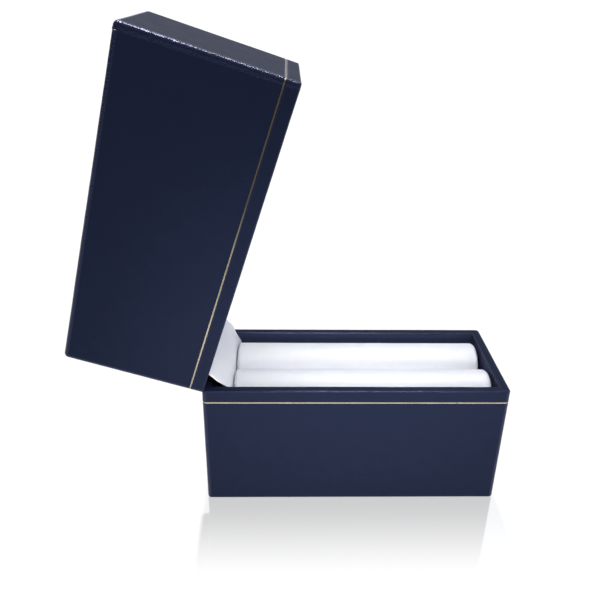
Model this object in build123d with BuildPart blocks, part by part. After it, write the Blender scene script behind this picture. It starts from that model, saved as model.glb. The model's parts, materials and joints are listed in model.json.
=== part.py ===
from build123d import *
import math
import os

# Bangle box: a deep hinged case of thin boards covered in navy leatherette, with a thin gold
# line round base and lid, two padded white rolls that lift out, and a black spring hinge
# hidden behind a soft white flap. The lid stands open at the hinge's stop.
# X runs from the hinge end to the front, Y along the hinge, Z up, all in millimetres.
# The origin is the centre of the underside.

os.makedirs("parts", exist_ok=True)

# Outer sizes
base_length = 210.0
base_width = 88.0
base_height = 94.0
lid_back_depth = 93.5
lid_front_depth = 103.5
lid_side_overhang = 1.0
lid_front_overhang = 1.0
parting_gap = 0.4
open_angle = 72.4

# Walls: a board with a leatherette skin outside, over the rim and inside
board_t = 5.0
skin_t = 0.8
corner_r = 2.8
rim_r = 2.2
lid_top_r = 3.0
foot_r = 1.6

# Underside sheet, and the skin's turned-in border above it
sheet_t = 0.5
sheet_inset = 2.0
border_width = 12.0
border_gap = 0.3

# Gold line
line_drop = 9.3
line_width = 0.9
foil_t = 0.12

# Spring hinge
pin_inboard = 1.6
pin_r = 0.6
pin_clearance = 0.05
knuckle_r = 1.5
knuckle_pocket = 0.4
knuckle_count = 5
knuckle_gap = 0.3
hinge_side_space = 6.4
hinge_end_gap = 0.3
leaf_t = 0.8
leaf_bend_r = 0.8
leaf_wing = 14.0
nail_head_r = 1.6
nail_head_t = 0.6
nail_shank_r = 0.6
nail_length = 5.2
nail_down_wing = 8.4
nail_spring_space = 6.0
nail_clearance = 0.05
spring_t = 0.5
spring_width = 8.0
spring_end_space = 7.0
spring_bend_r = 8.0
spring_lid_gap = 0.05
spring_start = 12.0
spring_end = 14.0

# Soft flap over the hinge, and the two covered cards that it is glued to
card_t = 2.0
flap_t = 0.8
flap_side_gap = 0.5
flap_bend_r = 15.0
flap_glue = 15.0
flap_free_drop = 15.0
flap_base_corner = 2.2
flap_lid_corner = 11.0
card_side_gap = 0.2

# Linings
lining_t = 1.5
lining_gap = 0.3
pad_t = 6.0
pad_edge_r = 2.0
pad_gap = 0.5

# Rolls and the boards that they rest in
roll_side_gap = 1.4
roll_middle_gap = 4.0
roll_drop = 1.0
roll_rear_space = 20.3
roll_front_gap = 1.8
roll_flap_gap = 1.5
roll_end_r = 3.5
roll_skin_t = 0.8
roll_padding = 5.0
cover_turn_in = 9.0
tube_t = 1.2
end_disc_lap = 0.5
end_disc_t = 1.0
seat_gap = 0.3
cradle_t = 4.0
cradle_end_inset = 8.0
cradle_wrap = 8.0

# Places worked out from the sizes above
wall_t = board_t + 2 * skin_t
back_x = -base_length / 2
front_x = base_length / 2
rim_z = base_height
foot_z = sheet_t
floor_z = foot_z + skin_t + board_t
lining_z = floor_z + lining_t
inner_length = base_length - 2 * wall_t
inner_width = base_width - 2 * wall_t
lid_length = base_length + lid_front_overhang
lid_width = base_width + 2 * lid_side_overhang
lid_inner_width = lid_width - 2 * wall_t
hinge_x = back_x + pin_inboard
hinge_z = rim_z + parting_gap / 2
hinge_width = inner_width - 2 * hinge_side_space
wing_face_u = wall_t - pin_inboard + leaf_t
spring_offset = hinge_width / 2 - spring_end_space
nail_pitch = spring_offset - spring_width / 2 - nail_spring_space
roll_r = (inner_width - 2 * roll_side_gap - roll_middle_gap) / 4
roll_spacing = 2 * roll_r + roll_middle_gap
roll_rear_x = back_x + roll_rear_space
flap_x = roll_rear_x - roll_flap_gap - flap_t / 2
card_front_x = flap_x - flap_t / 2
card_top_z = rim_z - flap_free_drop

# Open lid: u runs along it from the pin, w away from its rim
tilt = math.radians(open_angle)
lid_along = (math.cos(tilt), 0, math.sin(tilt))
lid_up = (-math.sin(tilt), 0, math.cos(tilt))
pin_point = (hinge_x, 0, hinge_z)
lid_side = Plane(origin=pin_point, x_dir=lid_along, z_dir=(0, -1, 0))
base_side = Plane(origin=pin_point, x_dir=(1, 0, 0), z_dir=(0, -1, 0))
lid_up_axis = Axis(pin_point, lid_up)
lid_back_u = -pin_inboard
lid_front_u = lid_back_u + lid_length
lid_middle_u = (lid_back_u + lid_front_u) / 2
lid_rim_w = parting_gap / 2
lid_slope = (lid_front_depth - lid_back_depth) / lid_length


def lid_top(u):
    """Height of the lid's outer top above the pin, at u along the lid."""
    return lid_rim_w + lid_back_depth + lid_slope * (u - lid_back_u)


def lid_ceiling(u):
    """Height of the top board's inner face above the pin."""
    return lid_top(u) - skin_t - board_t


def in_lid(u, w):
    """World x and z of a point given along and up the open lid."""
    point = lid_side.from_local_coords((u, w, 0))
    return point.X, point.Z


def save(piece, label):
    """Labels a finished piece and writes it."""
    piece.part.label = label
    export_step(piece.part, f"parts/{label}.step")


def base_shell(skin):
    """The base's walls and floor, with every outer, rim and inner face set in by skin."""
    with BuildPart() as shell:
        with BuildSketch(Plane.XY.offset(foot_z + skin)):
            RectangleRounded(base_length - 2 * skin, base_width - 2 * skin, corner_r - skin)
        extrude(amount=base_height - foot_z - 2 * skin)
        fillet(shell.edges().group_by(Axis.Z)[-1], rim_r - skin)
        fillet(shell.edges().group_by(Axis.Z)[0], foot_r - skin)
        with BuildSketch(Plane.XY.offset(floor_z)):
            Rectangle(inner_length + 2 * skin, inner_width + 2 * skin)
        extrude(amount=base_height, mode=Mode.SUBTRACT)
        rim_face = shell.faces().filter_by(GeomType.PLANE).sort_by(Axis.Z)[-1]
        fillet(rim_face.inner_wires()[0].edges(), rim_r - skin)
    return shell.part


def lid_shell(skin):
    """The lid's walls and top, with every outer, rim and inner wall face set in by skin."""
    back = lid_back_u + skin
    front = lid_front_u - skin
    low = lid_rim_w + skin
    outline = [(back, low), (front, low), (front, lid_top(front) - skin), (back, lid_top(back) - skin)]
    inner_back = lid_back_u + wall_t - skin
    inner_front = lid_front_u - wall_t + skin
    cavity = [
        (inner_back, 0),
        (inner_front, 0),
        (inner_front, lid_ceiling(inner_front)),
        (inner_back, lid_ceiling(inner_back)),
    ]
    with BuildPart() as shell:
        with BuildSketch(lid_side):
            Polygon(*outline, align=None)
        extrude(amount=lid_width / 2 - skin, both=True)
        fillet(shell.edges().filter_by(lid_up_axis), corner_r - skin)
        fillet(shell.faces().sort_by(lid_up_axis)[-1].edges(), lid_top_r - skin)
        fillet(shell.faces().sort_by(lid_up_axis)[0].edges(), rim_r - skin)
        with BuildSketch(lid_side):
            Polygon(*cavity, align=None)
        extrude(amount=lid_inner_width / 2 + skin, both=True, mode=Mode.SUBTRACT)
        rim_face = shell.faces().filter_by(GeomType.PLANE).sort_by(lid_up_axis)[0]
        fillet(rim_face.inner_wires()[0].edges(), rim_r - skin)
    return shell.part


# Hinge recess: the pocket for knuckles and leaf in the back wall's edge, on either half.
# side is -1 in the base, where w runs down, and 1 in the lid.
def hinge_recess(plane, side):
    """The pocket cut into a back wall's edge for its half of the hinge."""
    outside = -wall_t
    inside = wall_t
    pocket = knuckle_r + knuckle_pocket
    seat = parting_gap / 2 + leaf_t
    inner_face = wall_t - pin_inboard
    outline = [
        (outside, 0),
        (inside, 0),
        (inside, seat + leaf_bend_r),
        (inner_face - leaf_bend_r, seat + leaf_bend_r),
        (inner_face - leaf_bend_r, seat),
        (pocket, seat),
        (pocket, pocket),
        (outside, pocket),
    ]
    with BuildPart() as recess:
        with BuildSketch(plane):
            Polygon(*[(u, side * w) for u, w in outline], align=None)
        extrude(amount=hinge_width / 2 + hinge_end_gap, both=True)
    return recess.part


def inward_plane(plane, side):
    """A plane on the leaf's wing, facing into the box, at the height of the nails."""
    height = side * (parting_gap / 2 + nail_down_wing)
    origin = plane.from_local_coords((wing_face_u, height, 0))
    return Plane(origin=origin, x_dir=(0, 1, 0), z_dir=plane.x_dir)


nail_places = [(-nail_pitch, 0), (0, 0), (nail_pitch, 0)]


def nail_holes(plane, side):
    """The holes that the nails pass through in leaf, skin and board."""
    wing_face = inward_plane(plane, side)
    with BuildPart() as holes:
        with BuildSketch(wing_face):
            with Locations(*nail_places):
                Circle(nail_shank_r + nail_clearance)
        extrude(amount=-(nail_length + nail_clearance))
    return holes.part


def gold_line(plane, length, width):
    """The foil band pressed flush into the skin, all the way round."""
    with BuildPart() as band:
        with BuildSketch(plane):
            RectangleRounded(length, width, corner_r)
            RectangleRounded(
                length - 2 * foil_t, width - 2 * foil_t, corner_r - foil_t, mode=Mode.SUBTRACT
            )
        extrude(amount=line_width / 2, both=True)
    return band


base_cut = hinge_recess(base_side, -1)
lid_cut = hinge_recess(lid_side, 1)
base_nail_holes = nail_holes(base_side, -1)
lid_nail_holes = nail_holes(lid_side, 1)

# Base boards: two long sides, front and back between them, and the floor inside all four
base_outside = base_shell(0)
base_core = base_shell(skin_t)
core_length = base_length - 2 * skin_t
core_width = base_width - 2 * skin_t
side_centre_y = core_width / 2 - board_t / 2
end_centre_x = core_length / 2 - board_t / 2
end_width = core_width - 2 * board_t
floor_length = core_length - 2 * board_t

for name, way in (("base_left_board", -1), ("base_right_board", 1)):
    with BuildPart() as base_side_board:
        add(base_core)
        with Locations((0, way * side_centre_y, base_height / 2)):
            Box(base_length, board_t, base_height, mode=Mode.INTERSECT)
    save(base_side_board, name)

with BuildPart() as base_front_board:
    add(base_core)
    with Locations((end_centre_x, 0, base_height / 2)):
        Box(board_t, end_width, base_height, mode=Mode.INTERSECT)
save(base_front_board, "base_front_board")

with BuildPart() as base_back_board:
    add(base_core)
    with Locations((-end_centre_x, 0, base_height / 2)):
        Box(board_t, end_width, base_height, mode=Mode.INTERSECT)
    add(base_cut, mode=Mode.SUBTRACT)
    add(base_nail_holes, mode=Mode.SUBTRACT)
save(base_back_board, "base_back_board")

with BuildPart() as base_floor_board:
    with BuildSketch(Plane.XY.offset(foot_z + skin_t)):
        Rectangle(floor_length, end_width)
    extrude(amount=board_t)
save(base_floor_board, "base_floor_board")

# Gold line, and the base's skin: one sheet of leatherette up the outside, over the rim and
# down the inside, turned in under the bottom as a border
base_gold_line = gold_line(Plane.XY.offset(rim_z - line_drop), base_length, base_width)
save(base_gold_line, "base_gold_line")

with BuildPart() as base_wrap:
    add(base_outside)
    add(base_core, mode=Mode.SUBTRACT)
    with BuildSketch(Plane.XY.offset(foot_z)):
        Rectangle(base_length - 2 * border_width, base_width - 2 * border_width)
    extrude(amount=skin_t, mode=Mode.SUBTRACT)
    add(base_gold_line.part, mode=Mode.SUBTRACT)
    add(base_cut, mode=Mode.SUBTRACT)
    add(base_nail_holes, mode=Mode.SUBTRACT)
save(base_wrap, "base_wrap")

# Underside sheet: laps the skin's border and fills the opening inside it
with BuildPart() as underside_sheet:
    with BuildSketch(Plane.XY):
        RectangleRounded(
            base_length - 2 * sheet_inset, base_width - 2 * sheet_inset, corner_r
        )
    extrude(amount=sheet_t)
    with BuildSketch(Plane.XY.offset(sheet_t)):
        Rectangle(
            base_length - 2 * (border_width + border_gap), base_width - 2 * (border_width + border_gap)
        )
    extrude(amount=skin_t)
save(underside_sheet, "underside_sheet")

# White lining on the floor of the base
with BuildPart() as floor_lining:
    with BuildSketch(Plane.XY.offset(floor_z)):
        Rectangle(inner_length - 2 * lining_gap, inner_width - 2 * lining_gap)
    extrude(amount=lining_t)
save(floor_lining, "floor_lining")

# Covered card that stands in front of the hinge inside the base
with BuildPart() as base_hinge_card:
    with BuildSketch(Plane.YZ.offset(card_front_x - card_t)):
        with Locations((0, (lining_z + card_top_z) / 2)):
            Rectangle(inner_width - 2 * card_side_gap, card_top_z - lining_z)
    extrude(amount=card_t)
save(base_hinge_card, "base_hinge_card")

# Rolls: a card tube, a foam sleeve and a leatherette cover turned in over the ends, each end
# closed by a covered disc
roll_z = rim_z - roll_drop - roll_r
roll_front_x = front_x - wall_t - roll_front_gap
cover_rear_x = roll_rear_x + end_disc_t
cover_length = roll_front_x - roll_rear_x - 2 * end_disc_t
tube_r = roll_r - roll_padding
end_disc_r = tube_r + end_disc_lap
end_hole_r = roll_r - cover_turn_in
roll_places = {"left": -roll_spacing / 2, "right": roll_spacing / 2}


def roll_body(y, inset):
    """A roll's rounded form, set in from the cover's outer face by inset."""
    with BuildPart() as body:
        with BuildSketch(Plane.YZ.offset(cover_rear_x + inset)):
            with Locations((y, roll_z)):
                Circle(roll_r - inset)
        extrude(amount=cover_length - 2 * inset)
        fillet(body.edges().filter_by(GeomType.CIRCLE), roll_end_r - inset)
    return body.part


for side, y in roll_places.items():
    cover_outside = roll_body(y, 0)
    cover_inside = roll_body(y, roll_skin_t)

    with BuildPart() as roll_tube:
        with BuildSketch(Plane.YZ.offset(cover_rear_x + roll_skin_t)):
            with Locations((y, roll_z)):
                Circle(tube_r)
                Circle(tube_r - tube_t, mode=Mode.SUBTRACT)
        extrude(amount=cover_length - 2 * roll_skin_t)
    save(roll_tube, f"{side}_roll_tube")

    with BuildPart() as roll_foam:
        add(cover_inside)
        with BuildSketch(Plane.YZ.offset(cover_rear_x)):
            with Locations((y, roll_z)):
                Circle(tube_r)
        extrude(amount=cover_length, mode=Mode.SUBTRACT)
    save(roll_foam, f"{side}_roll_foam")

    with BuildPart() as roll_cover:
        add(cover_outside)
        add(cover_inside, mode=Mode.SUBTRACT)
        with BuildSketch(Plane.YZ.offset(cover_rear_x)):
            with Locations((y, roll_z)):
                Circle(end_hole_r)
        extrude(amount=cover_length, mode=Mode.SUBTRACT)
    save(roll_cover, f"{side}_roll_cover")

    for end, disc_x in (("rear", roll_rear_x), ("front", roll_front_x - end_disc_t)):
        with BuildPart() as roll_end_disc:
            with BuildSketch(Plane.YZ.offset(disc_x)):
                with Locations((y, roll_z)):
                    Circle(end_disc_r)
            extrude(amount=end_disc_t)
        save(roll_end_disc, f"{side}_roll_{end}_disc")

# Cradle boards: each holds both rolls in round notches, near their ends
cradle_top_z = roll_z - roll_r + cradle_wrap
cradle_rear_x = cover_rear_x + cradle_end_inset
cradle_front_x = roll_front_x - end_disc_t - cradle_end_inset - cradle_t
for end, cradle_x in (("rear", cradle_rear_x), ("front", cradle_front_x)):
    with BuildPart() as roll_cradle:
        with BuildSketch(Plane.YZ.offset(cradle_x)):
            with Locations((0, (lining_z + cradle_top_z) / 2)):
                Rectangle(inner_width - 2 * card_side_gap, cradle_top_z - lining_z)
            with Locations(*[(y, roll_z) for y in roll_places.values()]):
                Circle(roll_r + seat_gap, mode=Mode.SUBTRACT)
        extrude(amount=cradle_t)
    save(roll_cradle, f"roll_cradle_{end}")

# Spring hinge: two leaves with interleaved knuckles on one pin, nailed to the back boards
knuckle_pitch = hinge_width / knuckle_count
knuckle_length = knuckle_pitch - knuckle_gap
knuckle_centres = [(n - (knuckle_count - 1) / 2) * knuckle_pitch for n in range(knuckle_count)]
wing_u = wing_face_u - leaf_t / 2
flange_w = parting_gap / 2 + leaf_t / 2


def hinge_leaf(plane, side, own, others):
    """A leaf: knuckles, the strip across the wall's edge, and the wing down its inner face."""
    path = [(0, side * flange_w), (wing_u, side * flange_w), (wing_u, side * (flange_w + leaf_wing))]
    holes = nail_holes(plane, side)
    with BuildPart() as leaf:
        with BuildSketch(plane):
            with BuildLine():
                FilletPolyline(*path, radius=leaf_bend_r + leaf_t / 2)
            trace(line_width=leaf_t)
        extrude(amount=hinge_width / 2 - knuckle_gap / 2, both=True)
        for centre in others:
            with BuildSketch(plane.offset(-centre)):
                Circle(knuckle_r + knuckle_gap)
            extrude(amount=knuckle_pitch / 2 + knuckle_gap / 2, both=True, mode=Mode.SUBTRACT)
        for centre in own:
            with BuildSketch(plane.offset(-centre)):
                Circle(knuckle_r)
            extrude(amount=knuckle_length / 2, both=True)
        with BuildSketch(plane):
            Circle(pin_r + pin_clearance)
        extrude(amount=hinge_width, both=True, mode=Mode.SUBTRACT)
        add(holes, mode=Mode.SUBTRACT)
    return leaf


def hinge_nails(plane, side):
    """The round-headed nails of one leaf."""
    wing_face = inward_plane(plane, side)
    with BuildPart() as nails:
        with BuildSketch(wing_face):
            with Locations(*nail_places):
                Circle(nail_head_r)
        extrude(amount=nail_head_t)
        with BuildSketch(wing_face):
            with Locations(*nail_places):
                Circle(nail_shank_r)
        extrude(amount=-nail_length)
    return nails


base_knuckles = knuckle_centres[0::2]
lid_knuckles = knuckle_centres[1::2]
save(hinge_leaf(base_side, -1, base_knuckles, lid_knuckles), "hinge_base_leaf")
save(hinge_leaf(lid_side, 1, lid_knuckles, base_knuckles), "hinge_lid_leaf")
save(hinge_nails(base_side, -1), "hinge_base_nails")
save(hinge_nails(lid_side, 1), "hinge_lid_nails")

with BuildPart() as hinge_pin:
    with BuildSketch(base_side):
        Circle(pin_r)
    extrude(amount=hinge_width / 2 - knuckle_gap / 2, both=True)
save(hinge_pin, "hinge_pin")

# Flat springs: each lies on the base leaf's wing, bends over the gap and lies on the lid's
spring_base_x = hinge_x + wing_face_u + spring_t / 2
spring_lid_u = wing_face_u + spring_lid_gap + spring_t / 2
spring_corner_w = (lid_along[0] * spring_lid_u - wing_face_u - spring_t / 2) / math.sin(tilt)
spring_path = [
    (spring_base_x, rim_z - spring_start),
    in_lid(spring_lid_u, spring_corner_w),
    in_lid(spring_lid_u, spring_end),
]
for side, y in (("left", -spring_offset), ("right", spring_offset)):
    with BuildPart() as hinge_spring:
        with BuildSketch(Plane.XZ.offset(-y)):
            with BuildLine():
                FilletPolyline(*spring_path, radius=spring_bend_r)
            trace(line_width=spring_t)
        extrude(amount=spring_width / 2, both=True)
    save(hinge_spring, f"hinge_spring_{side}")

# Lid boards: the top lies over all four walls, the front and back between the sides
lid_outside = lid_shell(0)
lid_core = lid_shell(skin_t)
lid_side_v = lid_width / 2 - skin_t - board_t
below_ceiling = [
    (lid_back_u, lid_rim_w),
    (lid_front_u, lid_rim_w),
    (lid_front_u, lid_ceiling(lid_front_u)),
    (lid_back_u, lid_ceiling(lid_back_u)),
]
above_ceiling = [
    (lid_back_u, lid_ceiling(lid_back_u)),
    (lid_front_u, lid_ceiling(lid_front_u)),
    (lid_front_u, lid_top(lid_front_u)),
    (lid_back_u, lid_top(lid_back_u)),
]

for name, start in (("lid_left_board", lid_side_v), ("lid_right_board", -lid_side_v - board_t)):
    with BuildPart() as lid_side_board:
        add(lid_core)
        with BuildSketch(lid_side.offset(start)):
            Polygon(*below_ceiling, align=None)
        extrude(amount=board_t, mode=Mode.INTERSECT)
    save(lid_side_board, name)

with BuildPart() as lid_top_board:
    add(lid_core)
    with BuildSketch(lid_side):
        Polygon(*above_ceiling, align=None)
    extrude(amount=lid_width / 2, both=True, mode=Mode.INTERSECT)
save(lid_top_board, "lid_top_board")


def lid_end_board(low_u):
    """A front or back board of the lid, between the side boards and under the top."""
    high_u = low_u + board_t
    outline = [
        (low_u, lid_rim_w),
        (high_u, lid_rim_w),
        (high_u, lid_ceiling(high_u)),
        (low_u, lid_ceiling(low_u)),
    ]
    with BuildPart() as end_board:
        add(lid_core)
        with BuildSketch(lid_side):
            Polygon(*outline, align=None)
        extrude(amount=lid_side_v, both=True, mode=Mode.INTERSECT)
    return end_board


lid_front_board = lid_end_board(lid_front_u - skin_t - board_t)
save(lid_front_board, "lid_front_board")

lid_back_blank = lid_end_board(lid_back_u + skin_t)
with BuildPart() as lid_back_board:
    add(lid_back_blank.part)
    add(lid_cut, mode=Mode.SUBTRACT)
    add(lid_nail_holes, mode=Mode.SUBTRACT)
save(lid_back_board, "lid_back_board")

# Lid skin and its gold line
lid_line_centre = lid_side.from_local_coords((lid_middle_u, lid_rim_w + line_drop, 0))
lid_line_plane = Plane(origin=lid_line_centre, x_dir=lid_along, z_dir=lid_up)
lid_gold_line = gold_line(lid_line_plane, lid_length, lid_width)
save(lid_gold_line, "lid_gold_line")

with BuildPart() as lid_wrap:
    add(lid_outside)
    add(lid_core, mode=Mode.SUBTRACT)
    add(lid_gold_line.part, mode=Mode.SUBTRACT)
    add(lid_cut, mode=Mode.SUBTRACT)
    add(lid_nail_holes, mode=Mode.SUBTRACT)
save(lid_wrap, "lid_wrap")

# Covered card in front of the hinge inside the lid, up to the top board
lid_card_face_u = card_front_x - hinge_x
lid_card_u = lid_card_face_u - card_t
lid_card_low_w = lid_rim_w + flap_free_drop
card_outline = [
    (lid_card_u, lid_card_low_w),
    (lid_card_face_u, lid_card_low_w),
    (lid_card_face_u, lid_ceiling(lid_card_face_u)),
    (lid_card_u, lid_ceiling(lid_card_u)),
]
with BuildPart() as lid_hinge_card:
    with BuildSketch(lid_side):
        Polygon(*card_outline, align=None)
    extrude(amount=lid_inner_width / 2 - card_side_gap, both=True)
save(lid_hinge_card, "lid_hinge_card")

# Padded lining under the lid's top
pad_back_u = lid_card_face_u + pad_gap
pad_front_u = lid_front_u - wall_t - pad_gap
pad_outline = [
    (pad_back_u, lid_ceiling(pad_back_u) - pad_t),
    (pad_front_u, lid_ceiling(pad_front_u) - pad_t),
    (pad_front_u, lid_ceiling(pad_front_u)),
    (pad_back_u, lid_ceiling(pad_back_u)),
]
with BuildPart() as lid_pad:
    with BuildSketch(lid_side):
        Polygon(*pad_outline, align=None)
    extrude(amount=lid_inner_width / 2 - pad_gap, both=True)
    fillet(lid_pad.faces().sort_by(lid_up_axis)[0].edges(), pad_edge_r)
save(lid_pad, "lid_pad")

# Hinge flap: glued to both cards, and free between them over the hinge
flap_lid_u = lid_card_face_u + flap_t / 2
flap_path = [
    (flap_x, card_top_z - flap_glue),
    (flap_x, rim_z - flap_base_corner),
    in_lid(flap_lid_u, flap_lid_corner),
    in_lid(flap_lid_u, lid_card_low_w + flap_glue),
]
with BuildPart() as hinge_flap:
    with BuildSketch(Plane.XZ):
        with BuildLine():
            FilletPolyline(*flap_path, radius=flap_bend_r)
        trace(line_width=flap_t)
    extrude(amount=inner_width / 2 - flap_side_gap, both=True)
save(hinge_flap, "hinge_flap")
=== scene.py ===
import json
import math

import bmesh
import bpy
import numpy as np
from mathutils import Matrix, Vector, noise


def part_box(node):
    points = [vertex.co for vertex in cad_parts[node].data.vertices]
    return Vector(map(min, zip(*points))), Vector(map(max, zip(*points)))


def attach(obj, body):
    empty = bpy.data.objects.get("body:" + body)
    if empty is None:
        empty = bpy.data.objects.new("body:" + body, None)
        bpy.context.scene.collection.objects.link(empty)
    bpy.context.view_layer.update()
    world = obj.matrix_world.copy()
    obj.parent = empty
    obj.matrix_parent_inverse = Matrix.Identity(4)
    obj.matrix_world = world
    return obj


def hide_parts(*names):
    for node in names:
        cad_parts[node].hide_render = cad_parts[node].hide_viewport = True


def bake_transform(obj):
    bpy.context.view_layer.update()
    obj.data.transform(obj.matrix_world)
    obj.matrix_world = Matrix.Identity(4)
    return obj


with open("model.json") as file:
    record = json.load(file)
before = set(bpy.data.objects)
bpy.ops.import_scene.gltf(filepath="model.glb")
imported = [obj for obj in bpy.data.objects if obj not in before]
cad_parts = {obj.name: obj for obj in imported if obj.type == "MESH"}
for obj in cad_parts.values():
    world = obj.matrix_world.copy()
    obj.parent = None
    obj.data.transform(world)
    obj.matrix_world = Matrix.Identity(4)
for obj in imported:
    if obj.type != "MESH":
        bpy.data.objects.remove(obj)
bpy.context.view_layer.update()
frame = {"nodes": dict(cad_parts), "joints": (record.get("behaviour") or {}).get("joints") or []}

# Bangle box, open on its spring hinge: boards in navy leatherette with a stamped gold line, two
# padded white rolls, a soft white flap over the hinge and a padded lining under the lid's top.
# X runs from the hinge to the front, Y along the hinge, Z up, in metres.

nodes = frame["nodes"]
scene = bpy.context.scene
MM = 0.001


# Sizes, read from the frame where it holds them
def box_of(name):
    """A CAD node's lowest and highest corners as two Vectors."""
    low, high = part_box(name)
    return Vector(low), Vector(high)


base_low, base_high = box_of("base_wrap")
base_half = Vector((base_high.x, base_high.y))
rim_z = base_high.z
foot_z = base_low.z
floor_z = box_of("floor_lining")[0].z
hinge_joint = next(joint for joint in frame["joints"] if joint["name"] == "lid_hinge")
hinge_point = Vector(hinge_joint["pos_m"])
open_angle = math.radians(hinge_joint["range_deg"][1])

lid_low_z = 2 * hinge_point.z - rim_z
lid_overhang = 1.0 * MM
lid_back_depth = 93.5 * MM
lid_front_depth = 103.5 * MM
lid_back_x = -base_half.x
lid_front_x = base_half.x + lid_overhang
lid_half = Vector(((lid_front_x - lid_back_x) / 2, base_half.y + lid_overhang))
lid_centre_x = (lid_front_x + lid_back_x) / 2

skin_t = 0.8 * MM
board_t = 5.0 * MM
wall_t = board_t + 2 * skin_t
corner_r = 2.8 * MM
rim_r = 2.2 * MM
rim_edge_r = 1.1 * MM
foot_r = 1.6 * MM
lid_top_r = 3.0 * MM
border_width = 12.0 * MM
line_drop = 9.3 * MM
line_half = 0.45 * MM
foil_t = 0.12 * MM

# The lid is modelled shut, and this turns it to where it stands open
lid_opening = (
    Matrix.Translation(hinge_point)
    @ Matrix.Rotation(-open_angle, 4, "Y")
    @ Matrix.Translation(-hinge_point)
)


def lid_top_z(x):
    """Height of the shut lid's top at x."""
    share = (x - lid_back_x) / (lid_front_x - lid_back_x)
    return lid_low_z + lid_back_depth + (lid_front_depth - lid_back_depth) * share


# Colours and nodes
def srgb(code):
    """A linear colour from an sRGB hex value such as 272D46."""
    values = [int(code[i:i + 2], 16) / 255 for i in (0, 2, 4)]
    linear = [v / 12.92 if v <= 0.04045 else ((v + 0.055) / 1.055) ** 2.4 for v in values]
    return (*linear, 1.0)


def feed(tree, node, sockets):
    """Fills inputs by name or number: a value is set, and another node's output is linked."""
    for name, value in sockets.items():
        if isinstance(value, bpy.types.NodeSocket):
            tree.links.new(value, node.inputs[name])
        else:
            node.inputs[name].default_value = value


def add_node(tree, kind, sockets=None, **settings):
    """Adds a node with its settings, and feeds its inputs."""
    made = tree.nodes.new(kind)
    for name, value in settings.items():
        setattr(made, name, value)
    feed(tree, made, sockets or {})
    return made


def new_material(name):
    """An empty node material, its tree and its Principled shader, already joined to the output."""
    material = bpy.data.materials.new(name)
    material.use_nodes = True
    tree = material.node_tree
    tree.nodes.clear()
    shader = add_node(tree, "ShaderNodeBsdfPrincipled")
    add_node(tree, "ShaderNodeOutputMaterial", {"Surface": shader.outputs[0]})
    return material, tree, shader


mottle_size = 9.0 * MM


def leatherette(name, light, dark, grain_mm, depth_mm, roughness, specular, tint="FFFFFF"):
    """PVC-coated paper embossed with a fine leather grain: tiny pebbles, softly glossy on top."""
    material, tree, shader = new_material(name)
    place = add_node(tree, "ShaderNodeTexCoord").outputs["Object"]
    grain = 1 / (grain_mm * MM)
    warp = add_node(tree, "ShaderNodeTexNoise", {"Vector": place, "Scale": 0.45 * grain})
    warped = add_node(
        tree, "ShaderNodeMixRGB", {"Fac": 0.0006, "Color1": place, "Color2": warp.outputs["Color"]}
    )
    pebble = add_node(
        tree,
        "ShaderNodeTexVoronoi",
        {"Vector": warped.outputs[0], "Scale": grain},
        feature="SMOOTH_F1",
    )
    fine = add_node(tree, "ShaderNodeTexNoise", {"Vector": place, "Scale": 3 * grain, "Detail": 3.0})
    height = add_node(
        tree,
        "ShaderNodeMath",
        {0: fine.outputs["Fac"], 1: 0.35, 2: pebble.outputs["Distance"]},
        operation="MULTIPLY_ADD",
    )
    bump = add_node(
        tree,
        "ShaderNodeBump",
        {"Strength": 1.0, "Distance": depth_mm * MM, "Height": height.outputs[0]},
        invert=True,
    )
    mottle = add_node(
        tree, "ShaderNodeTexNoise", {"Vector": place, "Scale": 1 / mottle_size, "Detail": 4.0}
    )
    colour = add_node(
        tree,
        "ShaderNodeMixRGB",
        {"Fac": mottle.outputs["Fac"], "Color1": srgb(dark), "Color2": srgb(light)},
    )
    rough = add_node(
        tree,
        "ShaderNodeMapRange",
        {"Value": mottle.outputs["Fac"], "To Min": roughness - 0.06, "To Max": roughness + 0.06},
    )
    shader_inputs = {
        "Base Color": colour.outputs[0],
        "Roughness": rough.outputs[0],
        "Normal": bump.outputs[0],
        "Specular IOR Level": specular,
        "Specular Tint": srgb(tint),
    }
    feed(tree, shader, shader_inputs)
    return material


# Heights on the open lid between which its gold line is painted dark bronze: painted shade, as less light
# reaches the lid's upper part
shade_band_start = (0.195, 0.225)
shade_band_stop = (0.290, 0.300)


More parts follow.
